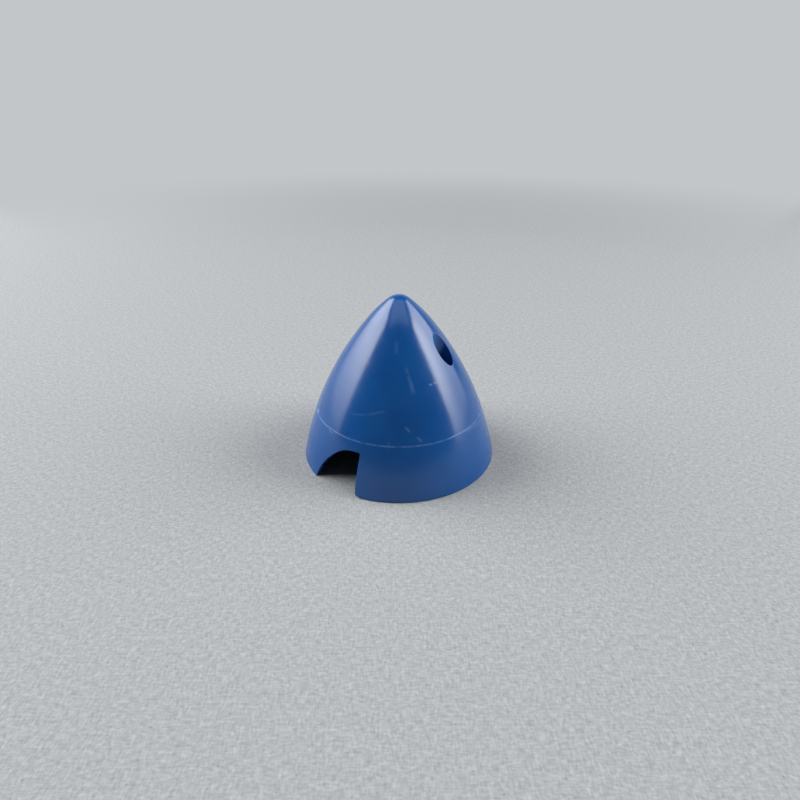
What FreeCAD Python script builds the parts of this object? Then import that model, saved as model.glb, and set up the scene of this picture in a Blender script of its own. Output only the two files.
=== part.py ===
import FreeCAD, Part
import math
import os
import Sketcher

# Cone of a two-blade propeller spinner, moulded in one piece.
#
# Millimetres and degrees. The origin is the centre of the rim plane, +Z runs along the spin axis
# to the nose, and the two screw wells lie on the X axis. The cone is the outer ogive less a core,
# as in the mould: the core leaves the wall, the backplate seat, two screw posts and their ribs.
# Then come the screw wells, the two blade cut-outs, the parting line and the rounded edges.

NODE = "spinner_cone"
BLADES = 2                 # blades, and so cut-outs and screws, evenly spaced round the axis
OVERRUN = 1.0              # how far a cutting sketch reaches past the face that it opens
FLANK_BANDS = 4            # the flank's arc is drawn in this many parts, the first up to the parting line
BAND_SHARE = 0.27          # height of each later part, as a share of the rise above the parting line
ON_CURVE = 0.02            # how near an edge must lie to a curve to count as lying on it

SIZES = [
    ("base_diameter", 57.0, "outside diameter at the rim"),
    ("cone_height", 48.4, "rim plane to the tip of the nose"),
    ("band_height", 3.0, "height of the straight conical band above the rim"),
    ("band_draft", 13.5, "lean of that band from the axis, degrees"),
    ("shoulder_radius", 41.0, "section radius between flank and nose cap"),
    ("shoulder_sweep", 11.4, "angle of that arc, degrees"),
    ("nose_radius", 4.6, "radius of the round nose cap"),
    ("wall", 1.6, "wall thickness of the shell"),
    ("seat_diameter", 53.8, "recess inside the rim that centres the backplate"),
    ("seat_depth", 2.5, "depth of that recess, the backplate's thickness"),
    ("screw_circle", 26.7, "diameter of the circle through the screw axes"),
    ("well_diameter", 5.6, "well that takes a pan-head screw and its driver"),
    ("well_floor", 2.0, "plastic left under the screw head"),
    ("screw_hole", 3.2, "clearance hole for an M3 screw"),
    ("post_wall", 1.4, "wall of the tubular post around the well, at its free end"),
    ("post_draft", 0.75, "mould draft of the post, degrees"),
    ("rib_thickness", 1.2, "rib that ties each post to the shell"),
    ("rib_setback", 3.5, "gap between backplate seat and rib"),
    ("cutout_bearing", 104.9, "middle of a cut-out, clockwise from a screw, degrees"),
    ("cutout_height", 12.2, "rim plane to the top of the cut-out"),
    ("cutout_edge", 7.2, "straight edge of the cut-out from its middle plane"),
    ("cutout_flat", 1.8, "flat top next to the straight edge"),
    ("cutout_crown_radius", 8.3, "first arc after the flat, over the blade's thick part"),
    ("cutout_crown_sweep", 36.4, "angle of that arc, degrees"),
    ("cutout_flank_radius", 21.4, "long arc down to the rim"),
    ("cutout_foot_radius", 1.3, "round where the straight edge meets the rim"),
    ("parting_height", 15.1, "rim plane to the mould's parting line"),
    ("parting_proud", 0.25, "how far the raised line there stands out"),
    ("edge_round", 0.3, "round of the rim's and the cut-outs' outer edges"),
]
SIZE = {alias: value for alias, value, _ in SIZES}


def write_sheet(doc):
    """Put every driving size into a spreadsheet, with its alias and its meaning."""
    sheet = doc.addObject("Spreadsheet::Sheet", "Sizes")
    for row, (alias, value, meaning) in enumerate(SIZES, start=1):
        sheet.set(f"A{row}", alias)
        sheet.set(f"B{row}", str(value))
        sheet.setAlias(f"B{row}", alias)
        sheet.set(f"C{row}", meaning)
    doc.recompute()
    return sheet


# ---------------------------------------------------------------- geometry of the section

def flank_turn(band_end, draft, sweep):
    """Angle where the flank hands over to the shoulder, and the flank's radius, by bisection."""
    shoulder, nose = SIZE["shoulder_radius"], SIZE["nose_radius"]

    def miss(meet):
        cap = meet + sweep
        across = band_end[0] + shoulder * (math.cos(cap) - math.cos(meet)) - nose * math.cos(cap)
        radius = across / (math.cos(draft) - math.cos(meet))
        top = (band_end[1] + radius * (math.sin(meet) - math.sin(draft))
               + shoulder * (math.sin(cap) - math.sin(meet)) + nose * (1 - math.sin(cap)))
        return top - SIZE["cone_height"], radius

    low, high = draft + math.radians(5.0), math.pi / 2 - sweep
    for _ in range(60):
        middle = (low + high) / 2
        low, high = (middle, high) if miss(middle)[0] > 0 else (low, middle)
    return low, miss(low)[1]


def ogive(inset):
    """Arcs of the section moved inwards by inset: centre, radius, start and end angle."""
    draft, sweep = math.radians(SIZE["band_draft"]), math.radians(SIZE["shoulder_sweep"])
    band_end = (SIZE["base_diameter"] / 2 - SIZE["band_height"] * math.tan(draft), SIZE["band_height"])
    meet, flank_radius = flank_turn(band_end, draft, sweep)
    cap = meet + sweep
    nose = (0.0, SIZE["cone_height"] - SIZE["nose_radius"])
    reach = SIZE["shoulder_radius"] - SIZE["nose_radius"]
    shoulder = (-reach * math.cos(cap), nose[1] - reach * math.sin(cap))
    flank = (band_end[0] - flank_radius * math.cos(draft), band_end[1] - flank_radius * math.sin(draft))
    return [
        (flank, flank_radius - inset, draft, meet),
        (shoulder, SIZE["shoulder_radius"] - inset, meet, cap),
        (nose, SIZE["nose_radius"] - inset, cap, math.pi / 2),
    ]


def outer_radius(height):
    """Outside radius of the plain cone at a height above the rim plane."""
    if height <= SIZE["band_height"]:
        return SIZE["base_diameter"] / 2 - height * math.tan(math.radians(SIZE["band_draft"]))
    for (across, up), radius, start, end in ogive(0.0):
        if height <= up + radius * math.sin(end) + 1e-9:
            return across + math.sqrt(max(radius**2 - (height - up)**2, 0.0))
    return 0.0


# ---------------------------------------------------------------- sketch helpers

def origin_feature(body, role):
    """The body's own origin plane or axis with that role."""
    return next(item for item in body.Origin.OriginFeatures if item.Role == role)


def new_sketch(body, name, plane, lift=None):
    """A sketch on one of the body's origin planes, raised along its normal by an expression."""
    sketch = body.newObject("Sketcher::SketchObject", name)
    sketch.AttachmentSupport = [(origin_feature(body, plane), "")]
    sketch.MapMode = "FlatFace"
    if lift:
        sketch.setExpression(".AttachmentOffset.Base.z", lift)
    return sketch


def bind(sketch, name, expression, *constraint):
    """Add a named dimension to the sketch and tie it to the spreadsheet."""
    index = sketch.addConstraint(Sketcher.Constraint(*constraint))
    sketch.renameConstraint(index, name)
    sketch.setExpression(f"Constraints.{name}", expression)


def join(sketch, *ends):
    """Make pairs of geometry ends coincident."""
    for first, first_end, second, second_end in ends:
        sketch.addConstraint(Sketcher.Constraint("Coincident", first, first_end, second, second_end))


def line(x1, y1, x2, y2):
    """A straight edge in sketch coordinates."""
    return Part.LineSegment(FreeCAD.Vector(x1, y1, 0), FreeCAD.Vector(x2, y2, 0))


def arc(centre, radius, start, end):
    """A counter-clockwise arc in sketch coordinates, angles in radians."""
    circle = Part.Circle(FreeCAD.Vector(centre[0], centre[1], 0), FreeCAD.Vector(0, 0, 1), radius)
    return Part.ArcOfCircle(circle, start, end)


def add_circle(sketch, name, across, diameter, start):
    """A full circle on the sketch's X axis, bound to its place and diameter."""
    centre, size = start
    circle = Part.Circle(FreeCAD.Vector(centre, 0, 0), FreeCAD.Vector(0, 0, 1), size / 2)
    geo = sketch.addGeometry(circle)
    if across is None:
        sketch.addConstraint(Sketcher.Constraint("Coincident", geo, 3, -1, 1))
    else:
        sketch.addConstraint(Sketcher.Constraint("PointOnObject", geo, 3, -1))
        bind(sketch, f"{name}_place", across, "DistanceX", -1, 1, geo, 3, centre)
    bind(sketch, f"{name}_diameter", diameter, "Diameter", geo, size)


def ogive_sketch(body, name, inset, thickness):
    """Closed half section of the cone, moved inwards by the wall where inset is not nil."""
    sketch = new_sketch(body, name, "XZ_Plane")
    (centre, radius, start, end), shoulder, nose = ogive(inset)
    foot = SIZE["base_diameter"] / 2 - inset / math.cos(math.radians(SIZE["band_draft"]))
    band_end = [centre[0] + radius * math.cos(start), centre[1] + radius * math.sin(start)]
    top = SIZE["cone_height"] - inset
    above = SIZE["cone_height"] - SIZE["parting_height"]
    seams = [SIZE["parting_height"] + above * BAND_SHARE * step for step in range(FLANK_BANDS - 1)]
    angles = [start] + [math.asin((seam - centre[1]) / radius) for seam in seams] + [end]
    sketch.addGeometry([line(0, 0, foot, 0), line(foot, 0, *band_end)])
    flanks = [sketch.addGeometry(arc(centre, radius, low, high)) for low, high in zip(angles, angles[1:])]
    shoulder_arc, nose_arc, axis = sketch.addGeometry([arc(*shoulder), arc(*nose), line(0, top, 0, 0)])
    base, band = 0, 1
    join(sketch, (base, 1, -1, 1), (base, 2, band, 1), (nose_arc, 2, axis, 1), (axis, 2, base, 1))
    chain = [band, *flanks, shoulder_arc, nose_arc]
    for first, second in zip(chain, chain[1:]):
        sketch.addConstraint(Sketcher.Constraint("Tangent", first, 2, second, 1))
    for step, (flank, seam) in enumerate(zip(flanks, seams)):
        sketch.addConstraint(Sketcher.Constraint("Equal", flanks[0], flanks[step + 1]))
        bind(sketch, f"seam_{step}", "Sizes.parting_height + (Sizes.cone_height - Sizes.parting_height)"
             f" * {BAND_SHARE * step}", "DistanceY", -1, 1, flank, 2, seam)
    sketch.addConstraint(Sketcher.Constraint("Horizontal", base))
    sketch.addConstraint(Sketcher.Constraint("Vertical", axis))
    sketch.addConstraint(Sketcher.Constraint("PointOnObject", nose_arc, 3, -2))
    draft = "Sizes.band_draft * 1 deg"
    bind(sketch, "foot_radius", f"Sizes.base_diameter / 2 - ({thickness}) / cos({draft})",
         "DistanceX", base, 1, base, 2, foot)
    bind(sketch, "band_rise", f"Sizes.band_height - ({thickness}) * sin({draft})",
         "DistanceY", band, 1, band, 2, band_end[1])
    bind(sketch, "band_lean", f"90 deg + {draft}", "Angle", band, math.radians(90 + SIZE["band_draft"]))
    bind(sketch, "shoulder", f"Sizes.shoulder_radius - ({thickness})", "Radius", shoulder_arc, shoulder[1])
    bind(sketch, "cap", f"Sizes.nose_radius - ({thickness})", "Radius", nose_arc, nose[1])
    bind(sketch, "shoulder_sweep", "Sizes.shoulder_sweep * 1 deg", "Angle", shoulder_arc,
         math.radians(SIZE["shoulder_sweep"]))
    bind(sketch, "rise", f"Sizes.cone_height - ({thickness})", "DistanceY", base, 1, axis, 1, top)
    return sketch


def revolve(body, name, sketch, kind="PartDesign::Revolution"):
    """Turn a half section once round the spin axis."""
    feature = body.newObject(kind, name)
    feature.Profile = sketch
    feature.ReferenceAxis = (sketch, ["V_Axis"])
    feature.Angle = 360.0
    return feature


def extrude(body, name, sketch, kind, length, reverse=False, taper=None):
    """Pad or pocket a sketch by a bound length."""
    feature = body.newObject(kind, name)
    feature.Profile = sketch
    feature.Reversed = reverse
    feature.setExpression("Length", length)
    if taper:
        feature.setExpression("TaperAngle", taper)
    return feature


def repeat_round_axis(body, name, features):
    """Repeat features once for each blade, round the spin axis."""
    pattern = body.newObject("PartDesign::PolarPattern", name)
    pattern.Originals = features
    pattern.Axis = (origin_feature(body, "Z_Axis"), [""])
    pattern.Angle = 360.0
    pattern.Occurrences = BLADES
    body.Tip = pattern
    return pattern


# ---------------------------------------------------------------- mould core: the hollow

def make_core(doc):
    """The hollow of the cone: ogive and backplate seat, less the posts and ribs."""
    core = doc.addObject("PartDesign::Body", "MouldCore")
    hollow = ogive_sketch(core, "HollowSection", SIZE["wall"], "Sizes.wall")
    revolve(core, "Hollow", hollow)

    seat = new_sketch(core, "SeatOutline", "XY_Plane")
    add_circle(seat, "seat", None, "Sizes.seat_diameter", (0.0, SIZE["seat_diameter"]))
    extrude(core, "Seat", seat, "PartDesign::Pad", "Sizes.seat_depth")
    extrude(core, "SeatMouth", seat, "PartDesign::Pad", f"{OVERRUN}", reverse=True)

    post_size = SIZE["well_diameter"] + 2 * SIZE["post_wall"]
    post = new_sketch(core, "PostOutline", "XY_Plane", "Sizes.seat_depth")
    add_circle(post, "post", "Sizes.screw_circle / 2", "Sizes.well_diameter + 2 * Sizes.post_wall",
               (SIZE["screw_circle"] / 2, post_size))
    posts = extrude(core, "Post", post, "PartDesign::Pocket", "Sizes.cone_height", reverse=True,
                    taper="Sizes.post_draft")

    rib = new_sketch(core, "RibOutline", "XY_Plane", "Sizes.seat_depth + Sizes.rib_setback")
    inner, outer = SIZE["screw_circle"] / 2, SIZE["base_diameter"] / 2
    half = SIZE["rib_thickness"] / 2
    rib.addGeometry([
        line(inner, -half, outer, -half),
        line(outer, -half, outer, half),
        line(outer, half, inner, half),
        line(inner, half, inner, -half),
    ])
    join(rib, (0, 2, 1, 1), (1, 2, 2, 1), (2, 2, 3, 1), (3, 2, 0, 1))
    for side, way in ((0, "Horizontal"), (2, "Horizontal"), (3, "Vertical")):
        rib.addConstraint(Sketcher.Constraint(way, side))
    bind(rib, "rib_start", "Sizes.screw_circle / 2", "DistanceX", -1, 1, 3, 1, inner)
    bind(rib, "rib_end", "Sizes.base_diameter / 2", "DistanceX", -1, 1, 1, 1, outer)
    bind(rib, "rib_width", "Sizes.rib_thickness", "DistanceY", 1, 1, 1, 2, 2 * half)
    rib.addConstraint(Sketcher.Constraint("Symmetric", 1, 1, 1, 2, -1))
    ribs = extrude(core, "Rib", rib, "PartDesign::Pocket", "Sizes.cone_height", reverse=True)

    repeat_round_axis(core, "PostsAndRibs", [posts, ribs])
    return core


# ---------------------------------------------------------------- the moulding

def add_parting_line(cone):
    """The raised line where the two halves of the mould met: a low ridge rooted in the wall."""
    section = new_sketch(cone, "PartingSection", "XZ_Plane")
    height, proud = SIZE["parting_height"], SIZE["parting_proud"]
    reach = outer_radius(height)
    root, crest = reach - proud, reach + proud
    low, high = height - 2 * proud, height + 2 * proud
    section.addGeometry([line(root, high, root, low), line(root, low, crest, height), line(crest, height, root, high)])
    join(section, (0, 2, 1, 1), (1, 2, 2, 1), (2, 2, 0, 1))
    section.addConstraint(Sketcher.Constraint("Vertical", 0))
    section.addConstraint(Sketcher.Constraint("Equal", 1, 2))
    bind(section, "root", "OuterSection.Constraints.parting_radius - Sizes.parting_proud * 1 mm",
         "DistanceX", -1, 1, 0, 1, root)
    bind(section, "crest", "OuterSection.Constraints.parting_radius + Sizes.parting_proud * 1 mm",
         "DistanceX", -1, 1, 1, 2, crest)
    bind(section, "parting_rise", "Sizes.parting_height", "DistanceY", -1, 1, 1, 2, height)
    bind(section, "spread", "4 * Sizes.parting_proud", "DistanceY", 0, 2, 0, 1, high - low)
    return revolve(cone, "PartingLine", section)


def mark_parting_radius(sketch):
    """Measure the radius where the flank's first arc ends, on the parting plane."""
    first_flank = 2
    index = sketch.addConstraint(
        Sketcher.Constraint("DistanceX", -1, 1, first_flank, 2, outer_radius(SIZE["parting_height"])))
    sketch.setDriving(index, False)
    sketch.renameConstraint(index, "parting_radius")


def add_screws(cone):
    """Wells from the outside down to a floor, and the screw's hole through it."""
    place, well_size = SIZE["screw_circle"] / 2, SIZE["well_diameter"]
    well = new_sketch(cone, "WellOutline", "XY_Plane", "Sizes.seat_depth + Sizes.well_floor")
    add_circle(well, "well", "Sizes.screw_circle / 2", "Sizes.well_diameter", (place, well_size))
    wells = extrude(cone, "Well", well, "PartDesign::Pocket", "Sizes.cone_height", reverse=True)

    hole = new_sketch(cone, "HoleOutline", "XY_Plane", "Sizes.seat_depth")
    add_circle(hole, "hole", "Sizes.screw_circle / 2", "Sizes.screw_hole", (place, SIZE["screw_hole"]))
    holes = extrude(cone, "ScrewHole", hole, "PartDesign::Pocket", f"Sizes.well_floor + {OVERRUN}", reverse=True)
    return repeat_round_axis(cone, "Screws", [wells, holes])


def cutout_sketch(cone):
    """Outline of a blade cut-out, seen from outside along its middle plane."""
    sketch = new_sketch(cone, "CutoutOutline", "XZ_Plane")
    turn = FreeCAD.Rotation(FreeCAD.Vector(0, 1, 0), 90.0 - SIZE["cutout_bearing"])
    sketch.AttachmentOffset = FreeCAD.Placement(FreeCAD.Vector(0, 0, 0), turn)
    sketch.setExpression(".AttachmentOffset.Rotation.Angle", "(90 - Sizes.cutout_bearing) * 1 deg")

    edge, height, foot = SIZE["cutout_edge"], SIZE["cutout_height"], SIZE["cutout_foot_radius"]
    crown, flank = SIZE["cutout_crown_radius"], SIZE["cutout_flank_radius"]
    sweep = math.radians(SIZE["cutout_crown_sweep"])
    crown_centre = (edge - SIZE["cutout_flat"], height - crown)
    flank_centre = (crown_centre[0] + (flank - crown) * math.sin(sweep),
                    crown_centre[1] - (flank - crown) * math.cos(sweep))
    end = math.pi - math.asin((-flank_centre[1]) / flank)
    far = flank_centre[0] + flank * math.cos(end)
    sketch.addGeometry([
        line(edge + foot, -OVERRUN, edge + foot, 0),
        arc((edge + foot, foot), foot, math.pi, 1.5 * math.pi),
        line(edge, foot, edge, height),
        line(edge, height, crown_centre[0], height),
        arc(crown_centre, crown, math.pi / 2, math.pi / 2 + sweep),
        arc(flank_centre, flank, math.pi / 2 + sweep, end),
        line(far, 0, far, -OVERRUN),
        line(far, -OVERRUN, edge + foot, -OVERRUN),
    ])
    mouth, foot_arc, straight, flat, crown_arc, flank_arc, drop, closing = range(8)
    join(sketch, (mouth, 2, foot_arc, 2), (straight, 2, flat, 1), (flank_arc, 2, drop, 1),
         (drop, 2, closing, 1), (closing, 2, mouth, 1))
    for first, first_end, second, second_end in ((foot_arc, 1, straight, 1), (flat, 2, crown_arc, 1),
                                                 (crown_arc, 2, flank_arc, 1)):
        sketch.addConstraint(Sketcher.Constraint("Tangent", first, first_end, second, second_end))
    for side in (mouth, straight, drop):
        sketch.addConstraint(Sketcher.Constraint("Vertical", side))
    for side in (flat, closing):
        sketch.addConstraint(Sketcher.Constraint("Horizontal", side))
    sketch.addConstraint(Sketcher.Constraint("PointOnObject", foot_arc, 2, -1))
    sketch.addConstraint(Sketcher.Constraint("Vertical", foot_arc, 2, foot_arc, 3))
    sketch.addConstraint(Sketcher.Constraint("PointOnObject", flank_arc, 2, -1))
    bind(sketch, "edge", "Sizes.cutout_edge", "DistanceX", -1, 1, straight, 2, edge)
    bind(sketch, "top", "Sizes.cutout_height", "DistanceY", -1, 1, straight, 2, height)
    bind(sketch, "flat", "Sizes.cutout_flat", "DistanceX", flat, 2, flat, 1, SIZE["cutout_flat"])
    bind(sketch, "crown", "Sizes.cutout_crown_radius", "Radius", crown_arc, crown)
    bind(sketch, "crown_sweep", "Sizes.cutout_crown_sweep * 1 deg", "Angle", crown_arc, sweep)
    bind(sketch, "flank", "Sizes.cutout_flank_radius", "Radius", flank_arc, flank)
    bind(sketch, "foot", "Sizes.cutout_foot_radius", "Radius", foot_arc, foot)
    bind(sketch, "overrun", f"{OVERRUN}", "DistanceY", mouth, 1, mouth, 2, OVERRUN)
    return sketch


def add_cutouts(cone):
    """The openings in the rim that the blade roots pass through."""
    outline = cutout_sketch(cone)
    cutout = extrude(cone, "Cutout", outline, "PartDesign::Pocket", "Sizes.base_diameter", reverse=True)
    repeat_round_axis(cone, "Cutouts", [cutout])
    return outline


# ---------------------------------------------------------------- the rounded edge

def edges_where(feature, test):
    """Names of the feature's edges that pass a test at three points along them."""
    names = []
    for number, edge in enumerate(feature.Shape.Edges, start=1):
        first, last = edge.ParameterRange
        points = [edge.valueAt(first + (last - first) * share) for share in (0.1, 0.5, 0.9)]
        if all(test(point) for point in points):
            names.append(f"Edge{number}")
    return names


def on_outside(point):
    """Whether a point lies on the plain cone's outside."""
    return abs(math.hypot(point.x, point.y) - outer_radius(max(point.z, 0.0))) < ON_CURVE


def in_first_sector(point, bearing):
    """The point turned round the axis by whole blade steps to the sector nearest a bearing."""
    step = 2 * math.pi / BLADES
    angle = math.atan2(point.y, point.x) - bearing
    angle = (angle + step / 2) % step - step / 2 + bearing
    reach = math.hypot(point.x, point.y)
    return FreeCAD.Vector(reach * math.cos(angle), reach * math.sin(angle), point.z)


def add_round(cone, outline):
    """Round the outer edges of the cut-outs; at each foot the rim's edge follows on."""
    bearing = -math.radians(SIZE["cutout_bearing"])
    plane_normal = FreeCAD.Vector(math.cos(bearing), math.sin(bearing), 0)

    def on_cutout(point):
        point = in_first_sector(point, bearing)
        flat_point = point - plane_normal * point.dot(plane_normal)
        near = Part.Vertex(flat_point).distToShape(outline.Shape)[0] < ON_CURVE
        return near and on_outside(point) and point.z > ON_CURVE

    cone.Document.recompute()
    base = cone.Tip
    edges = edges_where(base, on_cutout)
    if not edges:
        raise RuntimeError("the cut-outs have no outer edge to round")
    fillet = cone.newObject("PartDesign::Fillet", "OuterEdgeRound")
    fillet.Base = (base, edges)
    fillet.setExpression("Radius", "Sizes.edge_round")


def make_cone(doc, core):
    """The finished moulding."""
    cone = doc.addObject("PartDesign::Body", "SpinnerCone")
    cone.Label = NODE
    section = ogive_sketch(cone, "OuterSection", 0.0, "0")
    mark_parting_radius(section)
    revolve(cone, "OuterForm", section)
    add_parting_line(cone)
    hollow = cone.newObject("PartDesign::Boolean", "HollowCut")
    hollow.Type = "Cut"
    hollow.setObjects([core])
    add_screws(cone)
    outline = add_cutouts(cone)
    add_round(cone, outline)
    return cone


def check(doc, bodies):
    """Stop if any object of the document failed or a body has no sound solid."""
    for item in doc.Objects:
        if "Invalid" in item.State or "Error" in item.State:
            raise RuntimeError(f"{item.Name} failed: {item.State}")
    for body in bodies:
        shape = body.Shape
        if shape.isNull() or not shape.isValid() or len(shape.Solids) != 1:
            raise RuntimeError(f"{body.Label} is not one sound solid")


def main():
    """Build the document and write each piece's solid."""
    doc = FreeCAD.newDocument("PropellerSpinner")
    write_sheet(doc)
    core = make_core(doc)
    doc.recompute()
    cone = make_cone(doc, core)
    doc.recompute()
    pieces = [cone]
    check(doc, pieces)
    os.makedirs("parts", exist_ok=True)
    for piece in pieces:
        piece.Shape.exportStep(f"parts/{piece.Label}.step")
        box = piece.Shape.optimalBoundingBox()
        print(f"{piece.Label}: volume {piece.Shape.Volume:.1f} mm3, box {box.XLength:.2f} x "
              f"{box.YLength:.2f} x {box.ZLength:.2f} mm, faces {len(piece.Shape.Faces)}")


main()
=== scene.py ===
"""Looks of a moulded propeller spinner cone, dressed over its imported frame.

Lengths are millimetres in the part's classes and are turned to metres as each mesh is written.
The studio's lengths are metres. The origin is the centre of the rim plane, +Z runs to the nose,
and the screw wells lie on the X axis.
"""

import functools
import logging
import math
from dataclasses import dataclass, replace
from enum import Enum
from typing import Sequence

import bpy
import numpy as np
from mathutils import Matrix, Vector

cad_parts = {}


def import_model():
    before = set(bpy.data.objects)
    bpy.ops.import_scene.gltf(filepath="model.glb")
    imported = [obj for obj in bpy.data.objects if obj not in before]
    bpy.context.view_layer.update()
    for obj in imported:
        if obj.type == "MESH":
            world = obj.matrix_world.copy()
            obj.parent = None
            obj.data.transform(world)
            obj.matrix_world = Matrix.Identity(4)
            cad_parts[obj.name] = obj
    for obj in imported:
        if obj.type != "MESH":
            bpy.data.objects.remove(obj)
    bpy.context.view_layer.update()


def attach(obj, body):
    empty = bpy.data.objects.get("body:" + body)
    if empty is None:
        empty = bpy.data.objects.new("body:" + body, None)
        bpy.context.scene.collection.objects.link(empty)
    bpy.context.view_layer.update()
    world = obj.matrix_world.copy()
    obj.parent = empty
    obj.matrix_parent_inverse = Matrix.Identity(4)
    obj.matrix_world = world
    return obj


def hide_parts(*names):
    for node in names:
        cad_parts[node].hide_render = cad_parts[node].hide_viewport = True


LOG = logging.getLogger("spinner")
MM = 0.001
NODE = "spinner_cone"
POST_SIDES = 96
MERGE_DISTANCE = 1e-7
NEARLY_ZERO = 1e-9
WATTS_PER_GLOW = 4.0
Point = tuple[float, float]
Colour = tuple[float, float, float, float]
Socket = bpy.types.NodeSocket
Links = dict[str | int, object]


# ------------------------ small helpers

def add_object(name: str, data: bpy.types.ID) -> bpy.types.Object:
    """Put a new object with the given data in the scene."""
    made = bpy.data.objects.new(name, data)
    bpy.context.scene.collection.objects.link(made)
    return made


def new_mesh_object(name: str, vertices: Sequence[Sequence[float]], edges: Sequence[Sequence[int]],
                    faces: Sequence[Sequence[int]]) -> bpy.types.Object:
    """Link an object whose mesh is given in millimetres.

    Args:
        name: the object's name.
        vertices: corner points in millimetres.
        edges: loose edges, or an empty list.
        faces: corner numbers of each face, or an empty list.

    Returns:
        The new object at the origin, with its mesh in metres.
    """
    mesh = bpy.data.meshes.new(name)
    mesh.from_pydata([[value * MM for value in vertex] for vertex in vertices], edges, faces)
    mesh.update()
    return add_object(name, mesh)


def ring_faces(rings: int, count: int, first: int = 0) -> list[tuple[int, ...]]:
    """Make four-sided faces between each ring of corners and the next.

    Args:
        rings: how many rings there are.
        count: how many corners each ring has.
        first: the number of the first ring's first corner.

    Returns:
        The faces' corner numbers.
    """
    faces = []
    for low in range(first, first + (rings - 1) * count, count):
        for side in range(count):
            after = (side + 1) % count
            faces.append((low + side, low + after, low + count + after, low + count + side))
    return faces


def loft_rings(name: str, rings: Sequence[Sequence[Sequence[float]]]) -> bpy.types.Object:
    """Join rings of equal length into a closed solid with a flat cap at each end.

    Args:
        name: the object's name.
        rings: rings of points in millimetres, in order along the solid.

    Returns:
        The solid, its faces pointing outwards.
    """
    count = len(rings[0])
    vertices = [point for ring in rings for point in ring]
    faces = ring_faces(len(rings), count)
    faces.append(tuple(range(count - 1, -1, -1)))
    faces.append(tuple(range(len(vertices) - count, len(vertices))))
    solid = new_mesh_object(name, vertices, [], faces)
    point_outwards(solid.data)
    return solid


def read_all(items: Sequence[object], name: str, width: int = 1, kind: type = float) -> np.ndarray:
    """Read one value, or one row of values, from each of a mesh's items.

    Args:
        items: the mesh's vertices, loops, faces or the like.
        name: the attribute to read.
        width: how many numbers the attribute has.
        kind: float or int.

    Returns:
        The numbers, in rows where the attribute has more than one.
    """
    values = np.empty(len(items) * width, dtype=kind)
    items.foreach_get(name, values)
    return values.reshape(-1, width) if width > 1 else values


def point_outwards(mesh: bpy.types.Mesh) -> None:
    """Turn a closed mesh's faces over if the volume that they enclose comes out negative.

    Args:
        mesh: a closed mesh with one consistent winding.
    """
    mesh.calc_loop_triangles()
    corners = read_all(mesh.vertices, "co", 3)
    triangles = read_all(mesh.loop_triangles, "vertices", 3, int)
    first, second, third = (corners[triangles[:, side]] for side in range(3))
    if np.einsum("ij,ij->i", first, np.cross(second, third)).sum() < 0.0:
        mesh.flip_normals()


def share(low: float, high: float, position: float) -> float:
    """Value a given share of the way from low to high."""
    return low + (high - low) * position


# ------------------------ section of the cone

@dataclass(frozen=True)
class SectionArc:
    """One arc of the half section: centre, radius, and start and end angle from the rim's plane."""

    across: float
    up: float
    radius: float
    start: float
    end: float

    def point(self, angle: float) -> Point:
        """Radius and height of the point at an angle."""
        return (self.across + self.radius * math.cos(angle), self.up + self.radius * math.sin(angle))

    def points(self, steps: int) -> list[Point]:
        """Points from the arc's start to its end, both included."""
        return [self.point(share(self.start, self.end, step / steps)) for step in range(steps + 1)]


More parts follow.
